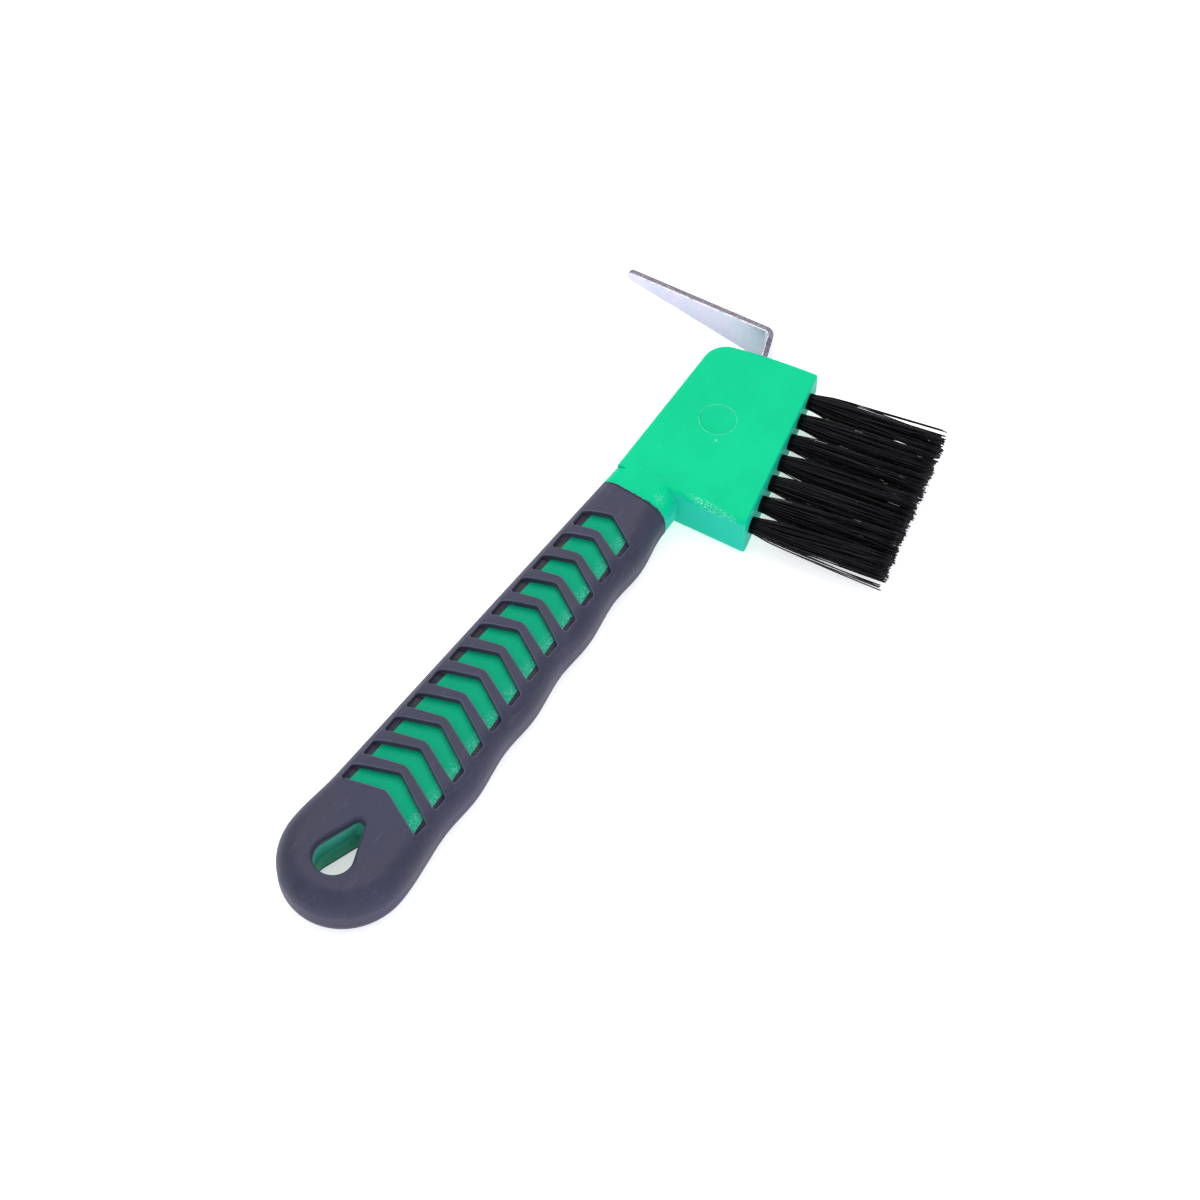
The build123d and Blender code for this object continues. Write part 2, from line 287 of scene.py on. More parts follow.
    def side_on(self, flat: float, upright: float) -> Socket:
        """1 on faces that stand upright, 0 on those that lie flat.

        Args:
            flat: The normal's Z at which it is 0.
            upright: The normal's Z at which it is 1.

        Returns:
            The value.
        """
        normal = self.node("ShaderNodeTexCoord").outputs["Normal"]
        parts = self.node("ShaderNodeSeparateXYZ")
        self.feed(parts.inputs[0], normal)
        return self.range(self.math("ABSOLUTE", parts.outputs[2]), upright, flat, 1.0, 0.0)

    def distance(self, centre: Vector, reach: Vector) -> Socket:
        """Distance from a place, in units of the given half sizes.

        Args:
            centre: The place, in metres.
            reach: The half sizes, in millimetres.

        Returns:
            The distance.
        """
        shifted = self.node("ShaderNodeVectorMath", operation="SUBTRACT")
        self.feed(shifted.inputs[0], self.place)
        shifted.inputs[1].default_value = centre / MM
        scaled = self.node("ShaderNodeVectorMath", operation="DIVIDE")
        self.feed(scaled.inputs[0], shifted.outputs["Vector"])
        scaled.inputs[1].default_value = reach
        length = self.node("ShaderNodeVectorMath", operation="LENGTH")
        self.feed(length.inputs[0], scaled.outputs["Vector"])
        return length.outputs["Value"]

    def patch(self, centre: Vector, reach: Vector) -> Socket:
        """A soft-edged egg-shaped patch: 1 at its centre in metres, 0 past its reach in millimetres."""
        return self.range(self.distance(centre, reach), 0.45, 1.0, 1.0, 0.0)

    def relief(self, *layers: tuple[Socket, float]) -> None:
        """Adds bumps to the surface.

        Args:
            layers: Pairs of a height from 0 to 1 and what 1 stands for, in millimetres.
        """
        normal = None
        for height, rise in layers:
            made = self.node("ShaderNodeBump")
            self.fill(made, Strength=1.0, Distance=rise * MM, Height=height)
            if normal is not None:
                self.fill(made, Normal=normal)
            normal = made.outputs["Normal"]
        self.set(Normal=normal)


# ---- Finishes ----
@dataclass(frozen=True)
class FlowMark:
    """A patch of moulding flow marks: pale squiggles just under the skin.

    Attributes:
        centre: Its middle, in metres.
        reach: Its half sizes, in millimetres.
        strength: How strongly it shows, from 0 to 1.
    """

    centre: Vector
    reach: Vector
    strength: float


@dataclass(frozen=True)
class GreenPlastic:
    """Satin polypropylene, a little translucent, with flow marks where the melt folded.

    Attributes:
        marks: Patches of flow marks on the neck and the shoulder.
        dimple: Middle of the shallow round mark on the upper face.
        pip: Middle of the small pip beside it.
        hole: Middle of the hanging hole.
        bar_edge: Half width of the bar at the grip's end.
        bar_taper: How fast the bar's side leans inwards.
        glint_width: How far in from the bar's side the painted glints reach.
    """

    marks: tuple[FlowMark, ...]
    dimple: Vector
    pip: Vector
    hole: Vector
    sliver: Colour = (0.25, 0.74, 0.66)
    light: Colour = (0.0, 0.520, 0.238)
    deep: Colour = (0.0, 0.485, 0.220)
    # teal: also the painted bluish reflection on the upright sides.
    teal: Colour = (0.014, 0.470, 0.365)
    # inner: painted shade for the core sunk in the grip's windows.
    inner: Colour = (0.0, 0.330, 0.175)
    wall: Colour = (0.055, 0.330, 0.260)
    dimple_radius: float = 4.15
    pip_radius: float = 0.55
    hole_reach: tuple[float, float, float] = (12.0, 17.0, 30.0)
    bar_edge: float = 5.1
    bar_taper: float = 0.0491
    glint_width: float = 2.9

    def build(self) -> Material:
        """Makes the material.

        Returns:
            The material.
        """
        board = NodeBoard("green_plastic")
        cloud = board.range(board.grain(0.07, 3.0), 0.35, 0.65)
        colour = board.mix(cloud, self.light, self.deep)
        # Painted reflection: teal on the upright sides.
        colour = board.mix(self.side_reflection_tint(board), colour, self.teal)
        # Painted shade: the core darker below the grip's end, sunk in its windows.
        colour = board.mix(self.under_grip_shade(board), colour, self.inner)
        colour = board.mix(self.hole_wall(board), colour, self.wall)
        # Painted highlight on the shallow mark's rim.
        colour = board.mix(self.dimple_rim_highlight(board), colour, self.sliver)
        squiggles = self.squiggles(board)
        # Flow marks, and painted glints at the bar's brush-side edge.
        colour = board.mix(squiggles, colour, self.sliver)
        speck = board.range(board.grain(2.6, 1.0), 0.70, 0.78)
        colour = board.tint(colour, speck, 0.14, self.sliver)
        pip = board.patch(self.pip, Vector((1.0, 1.0, 3.0)) * self.pip_radius)
        colour = board.tint(colour, pip, 0.35, self.sliver)
        rough = board.range(board.grain(0.5, 3.0), 0.3, 0.7, 0.34, 0.46)
        board.set(Base_Color=colour, Roughness=rough, Specular_IOR_Level=0.04)
        board.set(Subsurface_Weight=0.14, Subsurface_Scale=0.0011, Subsurface_Radius=(0.25, 1.0, 0.7))
        scuffs = board.range(board.grain(0.55, 4.0, 1.2, board.stretched(0.25, 1.6, 1.0)), 0.60, 0.64)
        board.relief(
            (board.grain(0.35, 2.0), 0.05),
            (board.grain(5.0, 2.0), 0.006),
            (scuffs, 0.008),
            (pip, 0.12),
            (squiggles, 0.020))
        return board.material

    def side_reflection_tint(self, board: NodeBoard) -> Socket:
        """How much teal shows: a painted bluish reflection, most of it on the upright sides, in faint
        streaks along them.

        Args:
            board: The material's nodes.

        Returns:
            The share, from 0 to 1.
        """
        streaks = board.grain(0.8, 3.0, 0.6, board.stretched(0.25, 0.5, 2.2))
        streaks = board.range(streaks, 0.35, 0.70, 0.62, 1.0)
        side = board.math("MULTIPLY", board.side_on(0.78, 0.10), streaks)
        blush = board.grain(0.9, 2.0, 0.0, board.stretched(1.0, 0.22, 1.0))
        blush = board.range(blush, 0.52, 0.75, 0.0, 0.12)
        return board.math("MAXIMUM", side, blush)

    def under_grip_shade(self, board: NodeBoard) -> Socket:
        """How much of the darker green shows, as painted shade: nearly all of it below the grip's upper
        end, where the core lies sunk in the grip's windows.
        """
        grip_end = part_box("grip_sleeve")[1].y / MM
        return board.range(board.axes()[1], grip_end - 0.2, grip_end + 0.2, 0.95, 0.0)

    def hole_wall(self, board: NodeBoard) -> Socket:
        """The hanging hole's wall, turned a paler grey-teal, more so near the upper face."""
        near = board.patch(self.hole, Vector(self.hole_reach))
        return board.math("MULTIPLY", near, board.range(board.axes()[2], -4.0, 4.5, 0.45, 1.0))

    def dimple_rim_highlight(self, board: NodeBoard) -> Socket:
        """A painted highlight: the pale line around the shallow mark's rim.

        Args:
            board: The material's nodes.

        Returns:
            The share, from 0 to 1.
        """
        away = board.distance(self.dimple, Vector((1.0, 1.0, 4.0)) * self.dimple_radius)
        off = board.math("ABSOLUTE", board.math("SUBTRACT", away, 1.03))
        ring_breakup = board.range(board.grain(0.7, 2.0), 0.35, 0.65, 0.08, 0.36)
        return board.math("MULTIPLY", board.range(off, 0.0, 0.055, 1.0, 0.0), ring_breakup)

    def squiggles(self, board: NodeBoard) -> Socket:
        """Thin broken lines inside the flow marks, and painted glints at the bar's brush-side edge.

        Args:
            board: The material's nodes.

        Returns:
            The share, from 0 to 1.
        """
        line = board.math("ABSOLUTE", board.math("SUBTRACT", board.grain(1.25, 1.5, 2.4), 0.5))
        line = board.range(line, 0.015, 0.060, 1.0, 0.0)
        broken = board.range(board.grain(2.2, 1.0), 0.38, 0.55)
        zone = self.bar_edge_glints(board)
        for mark in self.marks:
            patch = board.math("MULTIPLY", board.patch(mark.centre, mark.reach), mark.strength)
            zone = board.math("MAXIMUM", zone, patch)
        return board.math("MULTIPLY", board.math("MULTIPLY", line, broken), zone)

    def bar_edge_glints(self, board: NodeBoard) -> Socket:
        """Painted glints along the bar's brush-side edge, where it curves down, seen in the windows'
        ends.

        Args:
            board: The material's nodes.

        Returns:
            The share, from 0 to 1.
        """
        grip_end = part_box("grip_sleeve")[1].y / MM
        x, y, _ = board.axes()
        side = board.math("ADD", x, board.math("MULTIPLY", y, self.bar_taper))
        edge = self.bar_edge + self.bar_taper * grip_end
        glint = board.range(side, edge - self.glint_width, edge - 0.6, 0.0, 0.62)
        return board.math("MULTIPLY", glint, self.under_grip_shade(board))


@dataclass(frozen=True)
class SoftRubber:
    """Matt thermoplastic rubber with a fine spark-eroded skin and a little dust.

    Attributes:
        floor_height: The windows' floors lie nearer than this to the parting plane.
    """

    name: str = "soft_rubber"
    base: Colour = (0.0175, 0.0185, 0.042)
    bloom: Colour = (0.028, 0.028, 0.062)
    dust: Colour = (0.12, 0.115, 0.17)
    # Painted shade for the sunk window floors.
    recess_shade: Colour = (0.006, 0.006, 0.010)
    floor_height: float = 5.5

    def build(self) -> Material:
        """Makes the material.

        Returns:
            The material.
        """
        board = NodeBoard(self.name)
        cloud = board.range(board.grain(0.10, 3.0, 0.6), 0.35, 0.70)
        colour = board.mix(cloud, self.base, self.bloom)
        fleck = board.range(board.grain(3.4, 2.0), 0.66, 0.76)
        colour = board.tint(colour, fleck, 0.35, self.dust)
        # Rubbed wear: faint streaks tinted with dust.
        wear_and_highlight = board.range(board.grain(0.8, 4.0, 1.0, board.stretched(1.0, 0.3, 1.0)), 0.55, 0.75)
        colour = board.tint(colour, wear_and_highlight, 0.12, self.dust)
        # Painted shade on the sunk floors of the windows' ends.
        colour = board.mix(self.floor_shade(board), colour, self.recess_shade)
        rough = board.range(cloud, 0.0, 1.0, 0.54, 0.64)
        board.set(Base_Color=colour, Roughness=rough, Specular_IOR_Level=0.34)
        board.set(Sheen_Weight=0.07, Sheen_Roughness=0.45, Sheen_Tint=(0.75, 0.75, 1.0))
        board.relief(
            (board.grain(0.3, 2.0), 0.05),
            (board.grain(7.0, 2.0), 0.010),
            (board.grain(2.2, 2.0), 0.012))
        return board.material

    def floor_shade(self, board: NodeBoard) -> Socket:
        """How much painted shade shows: most of it on the flat floors of the windows' ends, sunk in the
        grip.

        Args:
            board: The material's nodes.

        Returns:
            The share, from 0 to 1.
        """
        height = board.math("ABSOLUTE", board.axes()[2])
        low = board.range(height, self.floor_height - 0.1, self.floor_height, 0.8, 0.0)
        return board.math("MULTIPLY", low, board.math("SUBTRACT", 1.0, board.side_on(0.99, 0.90)))


@dataclass(frozen=True)
class ZincPlate:
    """Bright passivated zinc on rolled steel: pale lilac with faint blue and green drifts.

    Attributes:
        lean: The strip's angle about Z, in degrees, along which it was rolled.
    """

    lean: float
    lilac: Colour = (0.500, 0.480, 0.610)
    blue: Colour = (0.455, 0.480, 0.595)
    moss: Colour = (0.430, 0.515, 0.535)
    sparkle: Colour = (0.86, 0.87, 0.90)

    def build(self) -> Material:
        """Makes the material.

        Returns:
            The material.
        """
        board = NodeBoard("zinc_plate")
        along = board.turned(self.lean)
        drift = board.range(board.grain(0.055, 2.0, 0.8), 0.38, 0.62)
        patch = board.range(board.grain(0.13, 3.0, 1.0), 0.50, 0.70)
        crystal = board.range(board.grain(1.6, 3.0), 0.35, 0.65)
        colour = board.mix(drift, self.lilac, self.blue)
        colour = board.tint(colour, patch, 0.6, self.moss)
        colour = board.tint(colour, crystal, 0.12, self.sparkle)
        lines = board.grain(1.8, 4.0, 0.0, board.stretched(0.15, 1.0, 2.4, along))
        rough = board.range(lines, 0.3, 0.7, 0.30, 0.46)
        board.set(Base_Color=colour, Roughness=rough, Metallic=1.0)
        board.relief((lines, 0.004), (board.grain(0.5, 2.0), 0.03), (crystal, 0.003))
        return board.material


@dataclass(frozen=True)
class RolledBurr:
    """The burr that the press tool rolled over: bright, bitten and uneven."""

    bright: Colour = (0.80, 0.79, 0.80)
    bitten: Colour = (0.36, 0.36, 0.42)

    def build(self) -> Material:
        """Makes the material.

        Returns:
            The material.
        """
        board = NodeBoard("rolled_burr")
        bites = board.range(board.grain(1.5, 3.0, 0.8), 0.52, 0.66)
        rough = board.range(board.grain(4.0, 2.0), 0.3, 0.7, 0.34, 0.55)
        board.set(Base_Color=board.mix(bites, self.bright, self.bitten), Roughness=rough, Metallic=0.75)
        board.relief((bites, 0.05), (board.grain(3.5, 2.0), 0.03))
        return board.material


@dataclass(frozen=True)
class ShearedEdge:
    """The cut edge of the strip, torn dark by the press tool and thinly plated."""

    dark: Colour = (0.120, 0.105, 0.135)
    pale: Colour = (0.300, 0.270, 0.330)

    def build(self) -> Material:
        """Makes the material.

        Returns:
            The material.
        """
        board = NodeBoard("sheared_edge")
        torn = board.range(board.grain(3.2, 3.0, 0.5), 0.42, 0.68)
        pits = board.grain(5.5, 2.0)
        colour = board.mix(torn, self.dark, self.pale)
        board.set(Base_Color=colour, Roughness=board.range(pits, 0.3, 0.7, 0.42, 0.62), Metallic=0.85)
        board.relief((torn, 0.04), (pits, 0.02))
        return board.material


@dataclass(frozen=True)
class NylonFilament:
    """Black drawn nylon: smooth along its length, each filament its own shade.

    Attributes:
        tone: The vertex attribute that holds each filament's shade.
    """

    tone: str
    black: Colour = (0.0012, 0.0012, 0.0020)
    grey: Colour = (0.0070, 0.0070, 0.0100)
    chalk: Colour = (0.012, 0.012, 0.017)

    def build(self) -> Material:
        """Makes the material.

        Returns:
            The material.
        """
        board = NodeBoard("nylon_filament")
        shade = board.node("ShaderNodeAttribute", attribute_name=self.tone).outputs["Fac"]
        dull = board.range(board.grain(0.8, 2.0), 0.4, 0.7)
        colour = board.mix(board.math("MULTIPLY", shade, 0.8), self.black, self.grey)
        colour = board.tint(colour, dull, 0.25, self.chalk)
        rough = board.range(shade, 0.0, 1.0, 0.22, 0.40)
        board.set(Base_Color=colour, Roughness=rough, Specular_IOR_Level=0.11)
        board.relief((board.grain(9.0, 1.0), 0.004))
        return board.material


@dataclass(frozen=True)
class AnchorWire:
    """Flattened bright wire."""

    bright: Colour = (0.62, 0.62, 0.64)
    dull: Colour = (0.40, 0.40, 0.43)

    def build(self) -> Material:
        """Makes the material.

        Returns:
            The material.
        """
        board = NodeBoard("anchor_wire")
        drawn = board.grain(3.0, 3.0, 0.0, board.stretched(0.2, 1.0, 1.0))
        board.set(Base_Color=board.mix(drawn, self.bright, self.dull), Metallic=1.0)
        board.set(Roughness=board.range(drawn, 0.3, 0.7, 0.28, 0.45))
        board.relief((drawn, 0.01))
        return board.material


@dataclass(frozen=True)
class StudioPaper:
    """White paper on a light table, with the faintest mottle."""

    bright: Colour = (0.93, 0.93, 0.93)
    warm: Colour = (0.91, 0.91, 0.915)
    glow: float = 0.52

    def build(self) -> Material:
        """Makes the material.

        Returns:
            The material.
        """
        board = NodeBoard("studio_paper")
        colour = board.mix(board.grain(0.05, 2.0), self.bright, self.warm)
        board.set(Base_Color=colour, Roughness=0.9, Emission_Color=colour, Emission_Strength=self.glow)
        board.relief((board.grain(0.8, 2.0), 0.02))
        return board.material


# ---- Meshes ----
def cast(mesh: Mesh, name: str, *materials: Material) -> Piece:
    """Puts a mesh in the scene as a smooth-shaded object.

    Args:
        mesh: The mesh, which is freed.
        name: The object's name.
        materials: Its materials, in slot order.

    Returns:
        The new object.
    """
    data = bpy.data.meshes.new(name)
    mesh.to_mesh(data)
    mesh.free()
    made = bpy.data.objects.new(name, data)
    bpy.context.scene.collection.objects.link(made)
    for material in materials:
        data.materials.append(material)
    data.polygons.foreach_set("use_smooth", [True] * len(data.polygons))
    return made


def seat(piece: Piece, slot: Slot, *stands_for: str) -> Piece:
    """Rides a piece on the body, hides the nodes that it stands for and logs its faces.

    Args:
        piece: The piece.
        slot: Its material slot; not used.
        stands_for: The nodes that it replaces, if any.

    Returns:
        The same piece.
    """
    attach(piece, BODY)
    if stands_for:
        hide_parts(*stands_for)
    log.info("%s: %d faces", piece.name, len(piece.data.polygons))
    return piece


def welded(node: str, weld: float) -> Mesh:
    """A copy of a node's mesh with its faces joined up.

    Args:
        node: The CAD node.
        weld: Vertices nearer than this become one, in millimetres.

    Returns:
        The mesh, for the caller to free.
    """
    mesh = bmesh.new()
    mesh.from_mesh(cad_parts[node].data)
    bmesh.ops.remove_doubles(mesh, verts=mesh.verts[:], dist=weld * MM)
    return mesh


@dataclass
class EdgeSoftener:
    """Rounds the hard edges of a copy of a CAD node, as a mould or a plating bath leaves them.

    Faces and edges that lie against a neighbour are left exactly as they are.

    Attributes:
        hard_angle: Edges that turn less than this, in degrees, stay as they are.
        knife_angle: So do edges that turn more than this.
        weld: Vertices nearer than this become one.
        flat_angle: Faces within this angle of each other, in degrees, are one flat.
        contact: Places nearer than this to a neighbour touch it.
        neighbours: The surfaces of the nodes that the last copied node touches.
    """

    width: float = 0.2
    segments: int = 2
    hard_angle: float = 30.0
    knife_angle: float = 140.0
    weld: float = 0.002
    flat_angle: float = 0.3
    contact: float = 0.02
    flat_weight: int = 60
    neighbours: tuple[BVHTree, ...] = ()

    def copy(self, node: str, *beside: str) -> Mesh:
        """A welded mesh of the node, its open flat faces made whole.

        Args:
            node: The CAD node.
            beside: The nodes that it touches.

        Returns:
            The mesh, for the caller to free.
        """
        trees = []
        for other in beside:
            neighbour = welded(other, self.weld)
            trees.append(BVHTree.FromBMesh(neighbour))
            neighbour.free()
        self.neighbours = tuple(trees)
        mesh = welded(node, self.weld)
        bmesh.ops.dissolve_limit(
            mesh, angle_limit=math.radians(self.flat_angle),
            verts=[v for v in mesh.verts if self.open(v.co)],
            edges=[e for e in mesh.edges if self.open((e.verts[0].co + e.verts[1].co) / 2)])
        return mesh

    def open(self, place: Vector) -> bool:
        """True where no neighbour touches."""
        return all(tree.find_nearest(place)[3] > self.contact * MM for tree in self.neighbours)

    def hard_edges(self, mesh: Mesh) -> list[Edge]:
        """The open convex edges that a thumb would feel, less the knife-thin ones.

        Args:
            mesh: The mesh.

        Returns:
            Its hard edges.
        """
        low, high = math.radians(self.hard_angle), math.radians(self.knife_angle)
        return [
            e for e in mesh.edges
            if e.is_manifold and e.is_convex and low < e.calc_face_angle(0.0) < high
            and self.open((e.verts[0].co + e.verts[1].co) / 2)]

    def round_off(self, mesh: Mesh, edges: list[Edge], width: float, slot: int = -1) -> None:
        """Bevels edges of the mesh in place.

        Args:
            mesh: The mesh.
            edges: The edges to round.
            width: How far the rounding reaches, in millimetres.
            slot: The material slot of the rounding, or -1 for its neighbours'.
        """
        bmesh.ops.bevel(
            mesh, geom=edges, offset=width * MM, offset_type="OFFSET", segments=self.segments,
            profile=0.5, affect="EDGES", clamp_overlap=False, material=slot)

    def finish(self, mesh: Mesh, name: str, *materials: Material) -> Piece:
        """Turns the mesh into an object whose big faces stay flat in the light.

        Args:
            mesh: The mesh, which is freed.
            name: The piece's name.
            materials: Its materials.

        Returns:
            The piece.
        """
        piece = cast(mesh, name, *materials)
        weighted = piece.modifiers.new("flat faces", "WEIGHTED_NORMAL")
        weighted.weight = self.flat_weight
        return piece


@dataclass
class GreenBody:
    """The moulded body: bar, neck and head.

    Attributes:
        marks: Its flow marks, placed from the middle of the grip's upper end, at the body's top.
    """

    softener: EdgeSoftener = field(default_factory=lambda: EdgeSoftener(width=0.18))
    marks: tuple[FlowMark, ...] = (
        FlowMark(mm(17.5, 7.0, -0.6), Vector((8.5, 1.3, 1.6)), 0.85),
        FlowMark(mm(5.6, 2.4, -2.2), Vector((2.4, 3.1, 2.6)), 0.95))
    dimple_place: Vector = field(default_factory=lambda: mm(4.56, 139.45, 4.9))
    pip_offset: Vector = field(default_factory=lambda: mm(2.95, -5.22, 0.25))
    hole_place: Vector = field(default_factory=lambda: mm(0.0, 3.0, 0.0))

    def flow_marks(self) -> tuple[FlowMark, ...]:
        """Where the melt folded: along the shoulder and on the neck beside it."""
        start = Vector((0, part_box("grip_sleeve")[1].y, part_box("core_body")[1].z))
        return tuple(replace(mark, centre=start + mark.centre) for mark in self.marks)

    def finish(self) -> GreenPlastic:
        """The plastic, with its marks in place."""
        return GreenPlastic(
            self.flow_marks(), self.dimple_place, self.dimple_place + self.pip_offset, self.hole_place)

    def build(self) -> Piece:
        """Builds and dresses the body.

        Returns:
            The piece.
        """
        mesh = self.softener.copy("core_body", "grip_sleeve", "hook")
        self.softener.round_off(mesh, self.softener.hard_edges(mesh), self.softener.width)
        piece = self.softener.finish(mesh, "green_body", self.finish().build())
        return seat(piece, Slot.GREEN, "core_body")


@dataclass
class RubberGrip:
    """The soft sleeve, and the thin flash that it leaves on the neck.

    Attributes:
        flash_start: Where the neck's outline is taken, past the sleeve's end.
        flash_section: For each corner of the flash's cross-section, a share of its reach, a
            step along the neck and a share of its thickness.
    """

    softener: EdgeSoftener = field(default_factory=lambda: EdgeSoftener(width=0.24))
    flash_stations: int = 320
    flash_start: float = 0.3
    flash_reach: float = 0.42
    flash_proud: float = 0.035
    flash_section: tuple[tuple[float, float, float], ...] = (
        (0.0, -0.30, 0.6), (0.0, 0.02, 1.0), (0.75, 0.0, 0.8), (1.0, 0.0, -0.2), (0.4, 0.0, -2.5))
    # Lighter rubber on the rounded edges: a painted highlight.
    edge_highlight_base: Colour = (0.050, 0.048, 0.088)
    edge_highlight_bloom: Colour = (0.080, 0.076, 0.130)

    def build(self) -> list[Piece]:
        """Builds and dresses the sleeve and its flash.

        Returns:
            The two pieces.
        """
        rubber = SoftRubber().build()
        # A lighter copy of the rubber: a painted highlight on the rounded edges.
        wear_and_highlight = SoftRubber("edge_highlight", self.edge_highlight_base, self.edge_highlight_bloom).build()
        mesh = self.softener.copy("grip_sleeve", "core_body")
        # The rounded edges take slot 1, the lighter rubber of the painted edge highlight.
        self.softener.round_off(mesh, self.softener.hard_edges(mesh), self.softener.width, 1)
        sleeve = self.softener.finish(mesh, "rubber_sleeve", rubber, wear_and_highlight)
        return [seat(sleeve, Slot.GRIP, "grip_sleeve"), seat(self.flash(rubber), Slot.GRIP)]

    def neck_loop(self, y: float) -> list[Vector]:
        """The neck's outline at a height along the handle, in even steps.

        Args:
            y: The height, in metres.

        Returns:
            Points in order round the neck.
        """
        mesh = welded("core_body", self.softener.weld)
        cut = bmesh.ops.bisect_plane(
            mesh, geom=mesh.verts[:] + mesh.edges[:] + mesh.faces[:],
            plane_co=(0, y, 0), plane_no=(0, 1, 0), clear_inner=True, clear_outer=True)
        points = [v.co.copy() for v in cut["geom_cut"] if isinstance(v, bmesh.types.BMVert)]
        mesh.free()
        centre = sum(points, Vector()) / len(points)
        points.sort(key=lambda p: math.atan2(p.z - centre.z, p.x - centre.x))
        lengths = [0.0]
        for a, b in zip(points, points[1:] + points[:1]):
            lengths.append(lengths[-1] + (b - a).length)
        closed = points + points[:1]
        loop, k = [], 0
        for i in range(self.flash_stations):
            want = lengths[-1] * i / self.flash_stations
            while lengths[k + 1] < want:
                k += 1
            share = (want - lengths[k]) / max(lengths[k + 1] - lengths[k], 1e-12)
            loop.append(closed[k].lerp(closed[k + 1], share))
        return loop

    def flash(self, rubber: Material) -> Piece:
        """A ragged film of rubber that crept past the sleeve's end.

        Args:
            rubber: Its material.

        Returns:
            The piece, a closed thin ring.
        """
        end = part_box("grip_sleeve")[1].y
        loop = self.neck_loop(end + self.flash_start * MM)
        count = len(loop)
        mesh = bmesh.new()
        rows = []
        for i, point in enumerate(loop):
            along = (loop[(i + 1) % count] - loop[i - 1]).normalized()
            out = Vector((along.z, 0, -along.x))
            if out.dot(point - Vector((0, point.y, 0))) < 0:
                out.negate()
            ragged = 0.5 + 0.5 * noise.noise(point / MM * 0.8) + 0.55 * noise.noise(point / MM * 2.6)
            reach = self.flash_reach * max(0.12, min(1.25, ragged))
            row = []
            for share, step, rise in self.flash_section:
                place = Vector((point.x, end + (share * reach + step) * MM, point.z))
                row.append(mesh.verts.new(place + out * rise * self.flash_proud * MM))
            rows.append(row)
        for a, b in zip(rows, rows[1:] + rows[:1]):
            for k in range(len(a)):
                mesh.faces.new((a[k], a[(k + 1) % len(a)], b[(k + 1) % len(a)], b[k]))
        bmesh.ops.recalc_face_normals(mesh, faces=mesh.faces[:])
        return cast(mesh, "grip_flash", rubber)


@dataclass
class SteelHook:
    """The pressed strip: crisp where the tool sheared it, rolled over on its inner side.

    Attributes:
        inner_side: Roughly which way the strip's inner side faces.
        inner_least: How squarely a face has to look that way to count as the inner side.
        cut_face: A face is cut where its normal's Z is larger than this.
    """

    softener: EdgeSoftener = field(default_factory=lambda: EdgeSoftener(width=0.06, segments=3))
    roll: float = 0.22
    inner_side: Vector = field(default_factory=lambda: Vector((-0.7, -0.7, 0.0)))
    inner_least: float = 0.4
    cut_face: float = 0.5
    grain_lean: float = -2.0

    def rolled(self, edge: Edge) -> bool:
        """True for the long edges between a cut face and the strip's inner side."""
        cut = any(abs(f.normal.z) > self.cut_face for f in edge.link_faces)
        return cut and any(f.normal.dot(self.inner_side) > self.inner_least for f in edge.link_faces)

    def build(self) -> Piece:
        """Builds and dresses the hook.

        Returns:
            The piece.
        """
        mesh = self.softener.copy("hook")
        mesh.normal_update()
        for face in mesh.faces:
            sheared = abs(face.normal.z) > self.cut_face
            face.material_index = (Face.SHEARED if sheared else Face.PLATED).value
        rolled = [e for e in self.softener.hard_edges(mesh) if self.rolled(e)]
        self.softener.round_off(mesh, rolled, self.roll, Face.ROLLED.value)
        mesh.normal_update()
        self.softener.round_off(mesh, self.softener.hard_edges(mesh), self.softener.width)
        finishes = [ZincPlate(self.grain_lean).build(), ShearedEdge().build(), RolledBurr().build()]
        return seat(self.softener.finish(mesh, "steel_hook", *finishes), Slot.STEEL, "hook")


